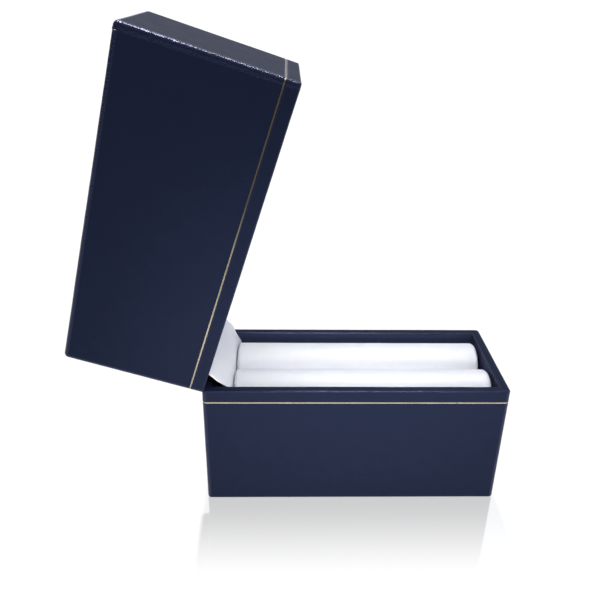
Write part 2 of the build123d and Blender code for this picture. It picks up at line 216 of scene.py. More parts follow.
def stamped_gold(name, light, dark, shaded):
    """Hot-stamped pale gold foil: metallic, a little dull, with pinholes where the grain took none, and
    painted shade: a darker band by height.
    """
    material, tree, shader = new_material(name)
    place = add_node(tree, "ShaderNodeTexCoord").outputs["Object"]
    grain = add_node(tree, "ShaderNodeTexNoise", {"Vector": place, "Scale": 1 / (0.6 * MM), "Detail": 4.0})
    holes = add_node(
        tree,
        "ShaderNodeMapRange",
        {"Value": grain.outputs["Fac"], "From Min": 0.30, "From Max": 0.36},
    )
    patch = add_node(tree, "ShaderNodeTexNoise", {"Vector": place, "Scale": 1 / (14 * MM), "Detail": 2.0})
    gold = add_node(
        tree,
        "ShaderNodeMixRGB",
        {"Fac": patch.outputs["Fac"], "Color1": srgb(light), "Color2": srgb(dark)},
    )
    # Only the lid's line reaches so high: its sides are painted darker from the middle towards the front
    # corners, as painted shade
    height = add_node(tree, "ShaderNodeSeparateXYZ", {0: place}).outputs["Z"]
    start = add_node(
        tree,
        "ShaderNodeMapRange",
        {"Value": height, "From Min": shade_band_start[0], "From Max": shade_band_start[1]},
    )
    stop = add_node(
        tree, "ShaderNodeMapRange", {"Value": height, "From Min": shade_band_stop[1], "From Max": shade_band_stop[0]}
    )
    wear_and_shade = add_node(
        tree, "ShaderNodeMath", {0: start.outputs[0], 1: stop.outputs[0]}, operation="MULTIPLY"
    )
    # Painted shade: the gold turns dark bronze within the band
    gold = add_node(
        tree,
        "ShaderNodeMixRGB",
        {"Fac": wear_and_shade.outputs[0], "Color1": gold.outputs[0], "Color2": srgb(shaded)},
    )
    colour = add_node(
        tree,
        "ShaderNodeMixRGB",
        {"Fac": holes.outputs[0], "Color1": srgb("2A2C3C"), "Color2": gold.outputs[0]},
    )
    rough = add_node(
        tree, "ShaderNodeMapRange", {"Value": grain.outputs["Fac"], "To Min": 0.28, "To Max": 0.5}
    )
    bump = add_node(
        tree, "ShaderNodeBump", {"Distance": 0.03 * MM, "Height": grain.outputs["Fac"]}
    )
    shader_inputs = {
        "Base Color": colour.outputs[0],
        "Metallic": holes.outputs[0],
        "Roughness": rough.outputs[0],
        "Normal": bump.outputs[0],
    }
    feed(tree, shader, shader_inputs)
    return material


def blackened_steel():
    """Sheet steel with thin black lacquer: satin, with bare grey rubs on the raised spots."""
    material, tree, shader = new_material("black_lacquered_steel")
    place = add_node(tree, "ShaderNodeTexCoord").outputs["Object"]
    wear_and_shade = add_node(tree, "ShaderNodeTexNoise", {"Vector": place, "Scale": 1 / (2.5 * MM), "Detail": 6.0})
    worn = add_node(
        tree, "ShaderNodeMapRange", {"Value": wear_and_shade.outputs["Fac"], "From Min": 0.60, "From Max": 0.72}
    )
    colour = add_node(
        tree,
        "ShaderNodeMixRGB",
        {"Fac": worn.outputs[0], "Color1": srgb("0D0E10"), "Color2": srgb("6E7074")},
    )
    rough = add_node(
        tree, "ShaderNodeMapRange", {"Value": wear_and_shade.outputs["Fac"], "To Min": 0.25, "To Max": 0.5}
    )
    bump = add_node(tree, "ShaderNodeBump", {"Distance": 0.02 * MM, "Height": wear_and_shade.outputs["Fac"]})
    shader_inputs = {
        "Base Color": colour.outputs[0],
        "Metallic": worn.outputs[0],
        "Roughness": rough.outputs[0],
        "Normal": bump.outputs[0],
    }
    feed(tree, shader, shader_inputs)
    return material


def fibrous(name, light, dark, fibre_mm, depth_mm, roughness, stretch=6.0):
    """Pressed fibres, as in grey board, felt paper, tube card and open foam: matt and finely mottled."""
    material, tree, shader = new_material(name)
    place = add_node(tree, "ShaderNodeTexCoord").outputs["Object"]
    along = add_node(
        tree, "ShaderNodeMapping", {"Vector": place, "Rotation": (0.3, 0.5, 0.7), "Scale": (1, stretch, 1)}
    )
    fibre = add_node(
        tree,
        "ShaderNodeTexNoise",
        {"Vector": along.outputs[0], "Scale": 1 / (fibre_mm * stretch * MM), "Detail": 5.0},
    )
    colour = add_node(
        tree,
        "ShaderNodeMixRGB",
        {"Fac": fibre.outputs["Fac"], "Color1": srgb(dark), "Color2": srgb(light)},
    )
    bump = add_node(
        tree, "ShaderNodeBump", {"Distance": depth_mm * MM, "Height": fibre.outputs["Fac"]}
    )
    shader_inputs = {
        "Base Color": colour.outputs[0],
        "Roughness": roughness,
        "Normal": bump.outputs[0],
        "Specular IOR Level": 0.3,
    }
    feed(tree, shader, shader_inputs)
    return material


# The real grain is 0.3 to 0.5 mm. It is drawn at 0.5 to 1.1 mm so that it shows.
# Navy leatherette on flat boards: dark, nearly matt, with a bluish sheen
navy_flat = leatherette(
    "navy_leatherette", "1E263C", "1B2136", 0.9, 0.05, 0.46, 0.04, tint="CCD2FF"
)
# The same, stretched over edges and corners: its grain stands out and glints in broken lines
navy_edge = leatherette(
    "navy_leatherette_stretched", "1E2640", "1B2139", 1.1, 0.20, 0.25, 0.26, tint="C9C9FF"
)
# The same on the inner walls, with painted light: lighter, for the light that the white rolls beside them
# throw
navy_inside_painted_light = leatherette(
    "navy_leatherette_inside_painted_light", "333A52", "2E344C", 0.9, 0.05, 0.46, 0.04, tint="CCD2FF"
)
# White leatherette of rolls, cards and cradles: fine grain and a soft gloss
white_cover = leatherette("white_leatherette", "EFF0F3", "EAEBF0", 0.7, 0.03, 0.5, 0.4)
# White lining cloth of the flap and the lid's padding: finer and duller
white_satin = leatherette("white_lining_cloth", "F1F2F5", "EAEBF0", 0.5, 0.02, 0.6, 0.3)
# Gold foil stamped into the leatherette: a thin pale metal line; the lid's copy is darker throughout, as
# painted shade
base_gold = stamped_gold("stamped_gold_foil", "B4AE9C", "989283", "534B41")
lid_gold = stamped_gold("stamped_gold_foil_painted_shade", "8A8776", "787566", "534B41")
black_steel = blackened_steel()
# Grey board, felt paper, spiral-wound card and open foam: matt, with fibres or pores that soften light
grey_board = fibrous("grey_board", "9A9184", "7E766B", 0.35, 0.05, 0.9)
felt_paper = fibrous("black_felt_paper", "1D1D20", "0B0B0D", 0.25, 0.15, 0.95)
tube_card = fibrous("spiral_tube_card", "A18A68", "87714F", 0.4, 0.05, 0.9)
foam = fibrous("white_foam", "F2F0E6", "DAD7CB", 0.3, 0.2, 0.95, stretch=1.0)

finishes = {
    "base_wrap": navy_flat,
    "lid_wrap": navy_flat,
    "base_gold_line": base_gold,
    "lid_gold_line": lid_gold,
    "underside_sheet": felt_paper,
    "left_roll_foam": foam,
    "right_roll_foam": foam,
    "left_roll_tube": tube_card,
    "right_roll_tube": tube_card,
}
for name, piece in nodes.items():
    finish = finishes.get(name)
    if finish is None and name.endswith("_board"):
        finish = grey_board
    if finish is None and name.startswith("hinge_") and name != "hinge_flap":
        finish = black_steel
    piece.data.materials.clear()
    piece.data.materials.append(finish or white_cover)


# Objects and meshes
def new_object(name, data):
    """An object in the scene, at the origin."""
    made = bpy.data.objects.new(name, data)
    scene.collection.objects.link(made)
    return made


sharp_turn = math.radians(40)


def tidy_mesh(mesh, gap=1e-6):
    """Merges doubled points, drops faces without area and turns every face outwards."""
    work = bmesh.new()
    work.from_mesh(mesh)
    bmesh.ops.remove_doubles(work, verts=work.verts, dist=gap)
    bmesh.ops.dissolve_degenerate(work, edges=work.edges, dist=gap)
    bmesh.ops.recalc_face_normals(work, faces=work.faces)
    work.to_mesh(mesh)
    work.free()
    mesh.polygons.foreach_set("use_smooth", [True] * len(mesh.polygons))
    mesh.set_sharp_from_angle(angle=sharp_turn)


def settle(piece):
    """Applies a piece's modifiers to its mesh."""
    seen = piece.evaluated_get(bpy.context.evaluated_depsgraph_get())
    final = bpy.data.meshes.new_from_object(seen)
    piece.modifiers.clear()
    final.name = piece.data.name + "_mesh"
    piece.data = final


def begin_tree(name, inputs):
    """A Geometry Nodes tree with named inputs and a finish, and the node that hands them out."""
    tree = bpy.data.node_groups.new(name, "GeometryNodeTree")
    for label, start in inputs.items():
        kind = "NodeSocketInt" if isinstance(start, int) else "NodeSocketFloat"
        tree.interface.new_socket(label, in_out="INPUT", socket_type=kind).default_value = start
    tree.interface.new_socket("Finish", in_out="INPUT", socket_type="NodeSocketMaterial")
    tree.interface.new_socket("Geometry", in_out="OUTPUT", socket_type="NodeSocketGeometry")
    return tree, add_node(tree, "NodeGroupInput")


def end_tree(tree, given, shape):
    """Ends a Geometry Nodes tree: smooth, real geometry with its finish."""
    smooth = add_node(tree, "GeometryNodeSetShadeSmooth", {0: shape.outputs[0]})
    real = add_node(tree, "GeometryNodeRealizeInstances", {0: smooth.outputs[0]})
    finished = add_node(
        tree,
        "GeometryNodeSetMaterial",
        {"Geometry": real.outputs[0], "Material": given.outputs["Finish"]},
    )
    add_node(tree, "NodeGroupOutput", {0: finished.outputs[0]})
    return tree


def build_by_nodes(piece, tree, settings):
    """Gives a piece the mesh that a Geometry Nodes tree makes from named settings."""
    build = piece.modifiers.new("build", "NODES")
    build.node_group = tree
    for item in tree.interface.items_tree:
        if item.name in settings:
            build[item.identifier] = settings[item.name]
    settle(piece)


# Skins of base and lid: one wall section carried round the box, as leatherette is glued round boards
def straight(start, end, steps):
    """Even steps along a section from start to end, without the start."""
    first = np.array(start, float)
    last = np.array(end, float)
    return [tuple(first + (last - first) * i / steps) for i in range(1, steps + 1)]


def rounding(centre, radius, first_deg, last_deg, steps=6):
    """A quarter round of a section, from one angle to another, with its first point."""
    across, up, share = centre
    turns = np.linspace(math.radians(first_deg), math.radians(last_deg), steps + 1)
    return [(across + radius * math.cos(t), up + radius * math.sin(t), share) for t in turns]


# A section point is its distance out from the outer face, its height, and the share of the lid's depth
# that is added to that height
line_low = line_drop - line_half
line_high = line_drop + line_half
# Across the gold groove's edge, from plain skin to the foil's bed: distance out, and height past it
groove_marks = (
    (0, -1.3 * MM),
    (0.06 * MM, -0.75 * MM),
    (0, -0.38 * MM),
    (-0.30 * MM, -0.20 * MM),
    (-0.26 * MM, -0.03 * MM),
    (-foil_t, 0),
)


def gold_groove(height_of):
    """The skin beside and under the gold line, pressed down by the hot stamp."""
    lower = [(across, height_of(line_low + up), 0) for across, up in groove_marks]
    upper = [(across, height_of(line_high - up), 0) for across, up in reversed(groove_marks)]
    return lower + upper


def base_section():
    """The base's skin, from its border under the floor up the outside, over the rim and down inside."""
    rim_round = rim_z - rim_r
    foot_round = foot_z + foot_r
    inner_r = rim_r - skin_t
    groove = gold_groove(lambda drop: rim_z - drop)[::-1]
    points = [(-border_width, foot_z, 0)]
    points += straight(points[-1], (-foot_r, foot_z, 0), 4)
    points += rounding((-foot_r, foot_round, 0), foot_r, -90, 0)[1:]
    points += straight(points[-1], groove[0], 30)
    points += groove[1:]
    edge_z = rim_z - rim_edge_r
    points += straight(points[-1], (0, edge_z, 0), 3)
    points += rounding((-rim_edge_r, edge_z, 0), rim_edge_r, 0, 90)[1:]
    points += straight(points[-1], (rim_edge_r - wall_t, rim_z, 0), 4)
    points += rounding((rim_edge_r - wall_t, edge_z, 0), rim_edge_r, 90, 180)[1:]
    points += straight(points[-1], (-wall_t, floor_z, 0), 24)
    shown = len(points)
    points += [(skin_t - wall_t, floor_z, 0)]
    points += straight(points[-1], (skin_t - wall_t, rim_round, 0), 5)
    points += rounding((rim_r - wall_t, rim_round, 0), inner_r, 180, 90, 3)[1:]
    points += rounding((-rim_r, rim_round, 0), inner_r, 90, 0, 3)
    points += straight(points[-1], (-skin_t, foot_round, 0), 5)
    points += rounding((-foot_r, foot_round, 0), foot_r - skin_t, 0, -90, 3)[1:]
    points += [(-border_width, foot_z + skin_t, 0)]
    return points, shown


def lid_section():
    """The lid's skin, from the middle of its top down the outside, round the rim and up inside."""
    inner_r = rim_r - skin_t
    groove = gold_groove(lambda drop: drop)[::-1]
    ceiling = -skin_t - board_t
    points = [(-lid_half.y, 0, 1)]
    points += straight(points[-1], (-lid_top_r, 0, 1), 18)
    points += rounding((-lid_top_r, -lid_top_r, 1), lid_top_r, 90, 0, 7)[1:]
    points += straight(points[-1], groove[0], 32)
    points += groove[1:]
    points += straight(points[-1], (0, rim_edge_r, 0), 3)
    points += rounding((-rim_edge_r, rim_edge_r, 0), rim_edge_r, 0, -90)[1:]
    points += straight(points[-1], (rim_edge_r - wall_t, 0, 0), 4)
    points += rounding((rim_edge_r - wall_t, rim_edge_r, 0), rim_edge_r, -90, -180)[1:]
    points += straight(points[-1], (-wall_t, ceiling, 1), 26)
    shown = len(points)
    points += [(skin_t - wall_t, ceiling, 1)]
    points += straight(points[-1], (skin_t - wall_t, rim_r, 0), 5)
    points += rounding((rim_r - wall_t, rim_r, 0), inner_r, -180, -90, 3)[1:]
    points += rounding((-rim_r, rim_r, 0), inner_r, -90, 0, 3)
    points += straight(points[-1], (-skin_t, -lid_top_r, 1), 5)
    points += rounding((-lid_top_r, -lid_top_r, 1), lid_top_r - skin_t, 0, 90, 4)[1:]
    points += straight(points[-1], (-lid_half.y, -skin_t, 1), 8)
    return points, shown


station_gap = 2.6 * MM
corner_turns = (12, 24, 34, 41, 45, 49, 56, 66, 78)


def stations(half, lap):
    """Places round the box: side number, share along the side, turn in the corner and lap mark."""
    places = []
    for side in range(4):
        side_half = half.y if side % 2 == 0 else half.x
        steps = int(2 * side_half / station_gap)
        shares = [i / steps for i in range(1, steps)]
        places.append((side, 0.0, None, 0))
        # The laps lie beside the two corners at the front, where side 1 starts and side 3 ends
        if lap and side == 1:
            places += [(side, 0.0, None, mark) for mark in (3, 2, 1)]
            shares = shares[1:]
        if lap and side == 3:
            shares = shares[:-1]
        places += [(side, share, None, 0) for share in shares]
        if lap and side == 3:
            places += [(side, 1.0, None, mark) for mark in (1, 2, 3)]
        places.append((side, 1.0, None, 0))
        places += [(side, 1.0, math.radians(turn), 0) for turn in corner_turns]
    return places


# A lap of the covering runs down each front corner of the lid: a low bead, further off at the top
lap_width_top = 2.4 * MM
lap_width_rim = 1.2 * MM
lap_height = 0.26 * MM
lap_half = 0.22 * MM
lap_reach = 2.7 * MM

# Heights and lengths of the glued covering's waves, and of its crinkles over edges and corners
waves = ((0.10 * MM, 48 * MM), (0.03 * MM, 13 * MM))
crinkles = ((0.045 * MM, 2.6 * MM), (0.03 * MM, 1.2 * MM))
crinkle_reach = 3.2 * MM
fold_depth = 0.16 * MM
fold_turn = 9.0
fold_start = 0.6 * MM
corner_calm = 6.0 * MM
flat_kind, edge_kind, painted_light_inside_kind = range(3)


def uneven(spot, sizes):
    """Smooth unevenness at a spot, summed over pairs of height and length."""
    return sum(height * noise.noise(spot / length) for height, length in sizes)


def skin_faces(places, acrosses, outward_across, outward_up, shown, closed):
    """Faces between neighbouring sections, and the kind of leatherette that each of them shows."""
    rows = len(places)
    count = len(acrosses)
    faces = []
    kinds = []
    for j in range(rows):
        ahead = (j + 1) % rows
        in_corner = places[j][2] is not None or places[ahead][2] is not None
        lapped = all(places[i][3] or places[i][1] in (0.0, 1.0) for i in (j, ahead))
        for k in range(count if closed else count - 1):
            above = (k + 1) % count
            faces.append((j * count + k, ahead * count + k, ahead * count + above, j * count + above))
            mid = (acrosses[k] + acrosses[above]) / 2
            curved = abs(outward_across[k]) > 0.05 and abs(outward_up[k]) > 0.05
            kind = flat_kind
            if ((in_corner or lapped) and mid > -foot_r) or (curved and mid > -wall_t):
                kind = edge_kind
            # Inner walls take the copy with painted light, lighter than the flats
            if k < shown and mid < 0.2 * MM - wall_t and abs(outward_up[k]) < 0.5:
                kind = painted_light_inside_kind
            kinds.append(kind)
    return faces, kinds


def wrap_skin(name, half, centre_x, low_z, section, shown, depth_at, closed, lap):
    """Carries a wall section round a rounded rectangle and shapes the leatherette on the way."""
    places = stations(half, lap)
    count = len(section)
    middle_depth = depth_at(centre_x)
    heights = np.array([up + share * middle_depth for _, up, share in section])
    acrosses = np.array([across for across, _, _ in section])
    tangent_across = np.gradient(acrosses)
    tangent_up = np.gradient(heights)
    length = np.hypot(tangent_across, tangent_up)
    length[length == 0] = 1
    turn = 1 if closed else -1
    outward_across = turn * tangent_up / length
    outward_up = -turn * tangent_across / length
    rim_height = rim_z - low_z if closed else 0
    verts = []
    for side, share, corner, lap_mark in places:
        facing = side * math.pi / 2
        # side 0 looks along +X, 1 along +Y, 2 along -X and 3 along -Y
        out = Vector((math.cos(facing), math.sin(facing)))
        along = Vector((-math.sin(facing), math.cos(facing)))
        deep, wide = (half.x, half.y) if side % 2 == 0 else (half.y, half.x)
        for k in range(count):
            across, up, lid_share = section[k]
            reach = corner_r + across
            run = wide - corner_r if reach >= 0 else wide + across
            round_r = max(reach, 0)
            if corner is None:
                at = out * (deep + across) + along * run * (2 * share - 1)
                normal = out
            else:
                normal = out * math.cos(corner) + along * math.sin(corner)
                at = out * (deep + across - round_r) + along * run + normal * round_r
            in_lap = lap_mark and across > -lap_reach
            if in_lap:
                height_share = (up + lid_share * middle_depth) / middle_depth
                width = lap_width_rim + (lap_width_top - lap_width_rim) * height_share
                width += lap_half * (2 - lap_mark)
                at = at + along * (-width if share == 1.0 else width)
            x = centre_x + at.x
            z = low_z + up + lid_share * depth_at(x)
            spot = Vector((x, at.y, z))
            amount = 0.0
            calm = 1.0
            if k < shown and abs(across + foil_t) > 0.01 * MM:
                amount = uneven(spot, waves)
                # The covering crinkles finely where it is stretched over edges and corners
                near_rim = abs(z - low_z - rim_height) < crinkle_reach
                near_top = lid_share == 1 and across > -lid_top_r * 1.2
                crinkle = 1.0 if near_rim or near_top else 0.0
                if corner is not None:
                    crinkle = max(crinkle, round_r / corner_r)
                amount += crinkle * uneven(spot, crinkles)
                # A mitred fold crosses the rim's corners, wider where the inner edge meets in a point
                at_corner = not in_lap and (corner is not None or share in (0.0, 1.0))
                if at_corner and near_rim and across < -fold_start:
                    off_fold = 45.0 if corner is None else abs(math.degrees(corner) - 45)
                    amount -= fold_depth * max(0.0, 1 - off_fold * round_r / (fold_turn * corner_r))
                if in_lap and lap_mark == 2 and up + lid_share > 0:
                    amount += lap_height
                # Where the walls meet in a sharp line, waves sideways die out so that they still meet
                if reach <= 0:
                    from_end = 0.0 if corner is not None else min(share, 1 - share) * 2 * run
                    calm = min(1.0, from_end / corner_calm)
            sideways = outward_across[k] * calm
            lift = Vector((normal.x * sideways, normal.y * sideways, outward_up[k]))
            verts.append(spot + lift * amount)
    faces, kinds = skin_faces(places, acrosses, outward_across, outward_up, shown, closed)
    mesh = bpy.data.meshes.new(name)
    mesh.from_pydata(verts, [], faces)
    mesh.polygons.foreach_set("material_index", kinds)
    for finish in (navy_flat, navy_edge, navy_inside_painted_light):
        mesh.materials.append(finish)
    tidy_mesh(mesh, 2e-6)
    return new_object(name, mesh)


# The hinge recess in each back wall, as far as the leaf and its knuckles need
hinge_half_width = 31.3 * MM
pin_inboard = 1.6 * MM
pocket_r = 1.9 * MM
leaf_seat = 1.0 * MM
leaf_bend_r = 0.8 * MM


def cut_hinge_recess(skin, way):
    """Takes the hinge recess out of a skin; way is -1 for the base and 1 for the lid."""
    inner = wall_t - pin_inboard
    outline = [
        (-wall_t, 0),
        (wall_t, 0),
        (wall_t, leaf_seat + leaf_bend_r),
        (inner - leaf_bend_r, leaf_seat + leaf_bend_r),
        (inner - leaf_bend_r, leaf_seat),
        (pocket_r, leaf_seat),
        (pocket_r, pocket_r),
        (-wall_t, pocket_r),
    ]
    ring = len(outline)
    verts = []
    for y in (-hinge_half_width, hinge_half_width):
        for u, w in outline:
            verts.append((hinge_point.x + u, y, hinge_point.z + way * w))
    faces = [tuple(range(ring)), tuple(range(ring, 2 * ring))]
    faces += [(i, (i + 1) % ring, ring + (i + 1) % ring, ring + i) for i in range(ring)]
    mesh = bpy.data.meshes.new("recess_cutter")
    mesh.from_pydata(verts, [], faces)
    tidy_mesh(mesh)
    cutter = new_object("recess_cutter", mesh)
    cut = skin.modifiers.new("recess", "BOOLEAN")
    cut.operation = "DIFFERENCE"
    cut.solver = "EXACT"
    cut.object = cutter
    settle(skin)
    bpy.data.objects.remove(cutter)


base_skin = wrap_skin(
    "base_leatherette", base_half, 0.0, 0.0, *base_section(), lambda x: 0.0, True, False
)
cut_hinge_recess(base_skin, -1)
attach(base_skin, "base")
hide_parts("base_wrap")

lid_skin = wrap_skin(
    "lid_leatherette",
    lid_half,
    lid_centre_x,
    lid_low_z,
    *lid_section(),
    lambda x: lid_top_z(x) - lid_low_z,
    False,
    True,
)
cut_hinge_recess(lid_skin, 1)
lid_skin.data.transform(lid_opening)
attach(lid_skin, "lid")
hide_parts("lid_wrap")


# Strips that cross the hinge: the soft flap and the two flat springs
def lid_place(u, w):
    """World x and z of a point given along and up the open lid, from the pin."""
    spot = lid_opening @ (hinge_point + Vector((u, 0, w)))
    return spot.x, spot.z


def bent_path(corners, radius, step):
    """A path in the XZ plane through corners, each rounded off, as points with even steps."""
    spots = [Vector(corner) for corner in corners]
    ways = [(b - a).normalized() for a, b in zip(spots, spots[1:])]
    path = [spots[0]]
    for i in range(1, len(spots) - 1):
        before = ways[i - 1]
        after = ways[i]
        turn = before.angle(after)
        cut = radius * math.tan(turn / 2)
        side = 1 if before.x * after.y - before.y * after.x > 0 else -1
        centre = spots[i] - before * cut + Vector((-before.y, before.x)) * side * radius
        arm = spots[i] - before * cut - centre
        steps = max(2, round(radius * turn / step))
        for k in range(steps + 1):
            swing = side * turn * k / steps
            path.append(centre + Matrix.Rotation(swing, 2) @ arm)
    path.append(spots[-1])
    dense = [path[0]]
    for a, b in zip(path, path[1:]):
        steps = max(1, round((b - a).length / step))
        dense += [a + (b - a) * k / steps for k in range(1, steps + 1)]
    return dense


def strip(name, path, low_y, high_y, columns, thick, finish, ripple):
    """A strip of even thickness along a path. ripple gives how far a point stands off, in metres."""
    lengths = [0.0]
    for a, b in zip(path, path[1:]):
        lengths.append(lengths[-1] + (b - a).length)
    verts = []
    for i, spot in enumerate(path):
        ahead = path[min(i + 1, len(path) - 1)] - path[max(i - 1, 0)]
        off = Vector((ahead.y, -ahead.x)).normalized()
        for k in range(columns + 1):
            share = k / columns
            y = low_y + (high_y - low_y) * share
            stand = ripple(lengths[i] / lengths[-1], share)
            verts.append((spot.x + off.x * stand, y, spot.y + off.y * stand))
    row = columns + 1
    faces = []
    for i in range(len(path) - 1):
        for k in range(columns):
            faces.append((i * row + k, i * row + k + 1, (i + 1) * row + k + 1, (i + 1) * row + k))
    mesh = bpy.data.meshes.new(name)
    mesh.from_pydata(verts, [], faces)
    mesh.materials.append(finish)
    mesh.polygons.foreach_set("use_smooth", [True] * len(faces))
    piece = new_object(name, mesh)
    wall = piece.modifiers.new("thickness", "SOLIDIFY")
    wall.thickness = thick
    wall.offset = 0
    edge = piece.modifiers.new("edge", "BEVEL")
    edge.width = thick * 0.3
    edge.segments = 2
    settle(piece)
    tidy_mesh(piece.data, 1e-7)
    return piece, lengths[-1]


flap_t = 0.8 * MM
flap_x = -86.3 * MM
flap_low_z = 64.0 * MM
flap_top_z = rim_z - 2.2 * MM
flap_lid_u = 16.8 * MM
flap_lid_w = 11.0 * MM
flap_lid_end = 30.2 * MM
flap_bend_r = 6.0 * MM
flap_half = 36.9 * MM
flap_wave = 0.28 * MM
flap_sag = 1.6 * MM
flap_twist = 5.9 * MM
flap_lean = 0.6 * MM
flap_curl = 2.4 * MM
curl_power = 20
# Shares of its length between which the flap leaves the base's card, meets the lid's, comes towards
# the rolls below the rim, and goes back from them
flap_leaving = (0.33, 0.50)
flap_meeting = (0.78, 0.60)
flap_coming = (0.05, 0.24)
flap_going = (0.38, 0.28)


def ease(value, start, end):
    """A smooth rise from 0 at start to 1 at end."""
    share = max(0.0, min(1.0, (value - start) / (end - start)))
    return share * share * (3 - 2 * share)


def flap_ripple(along, across):
    """How far the flap stands off its path: where it hangs free it sags near us and swells far off."""
    free = ease(along, *flap_leaving) * ease(along, *flap_meeting)
    wave = flap_wave * noise.noise(Vector((along * 3.1, across * 5.0, 2.0)))
    # Below the rim it leans towards the rolls, and its far edge curls past them
    below = ease(along, *flap_coming) * ease(along, *flap_going)
    lean = flap_lean + flap_curl * across ** curl_power
    return free * (wave + flap_twist * across - flap_sag) + below * lean


flap_path = bent_path(
    [
        (flap_x, flap_low_z),
        (flap_x, flap_top_z),
        lid_place(flap_lid_u, flap_lid_w),
        lid_place(flap_lid_u, flap_lid_end),
    ],
    flap_bend_r,
    1.2 * MM,
)
flap, flap_length = strip(
    "soft_flap", flap_path, -flap_half, flap_half, 60, flap_t, white_satin, flap_ripple
)
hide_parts("hinge_flap")
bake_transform(flap)

spring_t = 0.5 * MM
spring_half = 4.0 * MM
spring_offset = 24.0 * MM
spring_u = 6.1 * MM
spring_bend_r = 8.0 * MM
spring_base_x = -97.35 * MM
spring_base_z = 82.0 * MM
spring_lid_end = 14.0 * MM
# Up the lid's leaf, the height at which the spring's two straight runs would cross
spring_corner_w = math.cos(open_angle) * spring_u - (spring_base_x - hinge_point.x)
spring_corner_w /= math.sin(open_angle)
spring_path = bent_path(
    [
        (spring_base_x, spring_base_z),
        lid_place(spring_u, spring_corner_w),
        lid_place(spring_u, spring_lid_end),
    ],
    spring_bend_r,
    0.8 * MM,
)
for side, y in (("left", -spring_offset), ("right", spring_offset)):
    spring, _ = strip(
        f"flat_spring_{side}",
        spring_path,
        y - spring_half,
        y + spring_half,
        4,
        spring_t,
        black_steel,
        lambda along, across: 0.0,
    )
    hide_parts(f"hinge_spring_{side}")
    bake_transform(spring)


# Padded rolls: a tree of Geometry Nodes lays a leatherette cover round a roll and gathers it in at
# the ends, where a covered disc closes it
def roll_cover_tree():
    """Geometry Nodes that make one roll's cover, its axis along X through the origin."""
    sizes = {
        "Length": 0.1793,
        "Radius": 0.017,
        "Front Rounding": 0.0035,
        "Rear Rounding": 0.0018,
        "End Opening": 0.008,
        "Gathers": 44.0,
        "Gather Depth": 0.00025,
        "Unevenness": 0.0002,
        "Patch Size": 0.03,
        "Seed": 1.0,
    }
    tree, given = begin_tree("roll_cover", sizes)
    value = {name: given.outputs[name] for name in sizes}
    sheet = add_node(
        tree,
        "GeometryNodeMeshGrid",
        {"Size X": 2.0, "Size Y": 1.0, "Vertices X": 241, "Vertices Y": 161},
    )
    spot = add_node(
        tree, "ShaderNodeSeparateXYZ", {0: add_node(tree, "GeometryNodeInputPosition").outputs[0]}
    )
    value["lengthwise"] = spot.outputs["X"]
    value["round"] = spot.outputs["Y"]
    # Every line is a name, what is done, and the values it is done to
    for name, operation, *terms in [
        ("rear", "LESS_THAN", "lengthwise", 0.0),
        ("change", "SUBTRACT", "Rear Rounding", "Front Rounding"),
        ("rounding", "MULTIPLY_ADD", "rear", "change", "Front Rounding"),
        ("half", "MULTIPLY", "Length", 0.5),
        ("straight", "SUBTRACT", "half", "rounding"),
        ("bend", "MULTIPLY", "rounding", math.pi / 2),
        ("shoulder", "ADD", "straight", "bend"),
        ("face", "SUBTRACT", "Radius", "rounding"),
        ("turned in", "SUBTRACT", "face", "End Opening"),
        ("whole", "ADD", "shoulder", "turned in"),
        ("side", "SIGN", "lengthwise"),
        ("share", "ABSOLUTE", "lengthwise"),
        ("share", "POWER", "share", 0.75),
        ("reach", "MULTIPLY", "share", "whole"),
        ("past", "SUBTRACT", "reach", "straight"),
        ("turn", "DIVIDE", "past", "rounding"),
        ("turn", "MAXIMUM", "turn", 0.0),
        ("turn", "MINIMUM", "turn", math.pi / 2),
        ("sine", "SINE", "turn"),
        ("cosine", "COSINE", "turn"),
        ("flat run", "MINIMUM", "reach", "straight"),
        ("along", "MULTIPLY_ADD", "rounding", "sine", "flat run"),
        ("inward", "SUBTRACT", "reach", "shoulder"),
        ("inward", "MAXIMUM", "inward", 0.0),
        ("out", "MULTIPLY_ADD", "rounding", "cosine", "face"),
        ("out", "SUBTRACT", "out", "inward"),
        ("angle", "MULTIPLY", "round", 2 * math.pi),
        ("gather turn", "MULTIPLY", "angle", "Gathers"),
        ("gather wave", "COSINE", "gather turn"),
        ("gather", "MULTIPLY", "gather wave", "Gather Depth"),
        ("gather", "MULTIPLY", "gather", "sine"),
        ("out", "ADD", "out", "gather"),
        ("across angle", "SINE", "angle"),
        ("up angle", "COSINE", "angle"),
        ("x", "MULTIPLY", "along", "side"),
        ("y", "MULTIPLY", "out", "across angle"),
        ("z", "MULTIPLY", "out", "up angle"),
        ("patch scale", "DIVIDE", 1.0, "Patch Size"),
    ]:
        sockets = {i: value[term] if isinstance(term, str) else term for i, term in enumerate(terms)}
        value[name] = add_node(tree, "ShaderNodeMath", sockets, operation=operation).outputs[0]
    place = add_node(tree, "ShaderNodeCombineXYZ", {0: value["x"], 1: value["y"], 2: value["z"]})
    moved = add_node(
        tree, "GeometryNodeSetPosition", {"Geometry": sheet.outputs["Mesh"], "Position": place.outputs[0]}
    )
    joined = add_node(tree, "GeometryNodeMergeByDistance", {"Geometry": moved.outputs[0], "Distance": 2e-6})
    # The foam under the cover is never quite even
    patch = add_node(
        tree,
        "ShaderNodeTexNoise",
        {
            "Vector": add_node(tree, "GeometryNodeInputPosition").outputs[0],
            "W": value["Seed"],
            "Scale": value["patch scale"],
            "Detail": 2.0,
        },
        noise_dimensions="4D",
    )
    swell = add_node(
        tree, "ShaderNodeMapRange", {"Value": patch.outputs["Fac"], "To Max": value["Unevenness"]}
    )
    push = add_node(
        tree,
        "ShaderNodeVectorMath",
        {0: add_node(tree, "GeometryNodeInputNormal").outputs[0], "Scale": swell.outputs[0]},
        operation="SCALE",
    )
    uneven = add_node(
        tree, "GeometryNodeSetPosition", {"Geometry": joined.outputs[0], "Offset": push.outputs[0]}
    )
    return end_tree(tree, given, uneven)


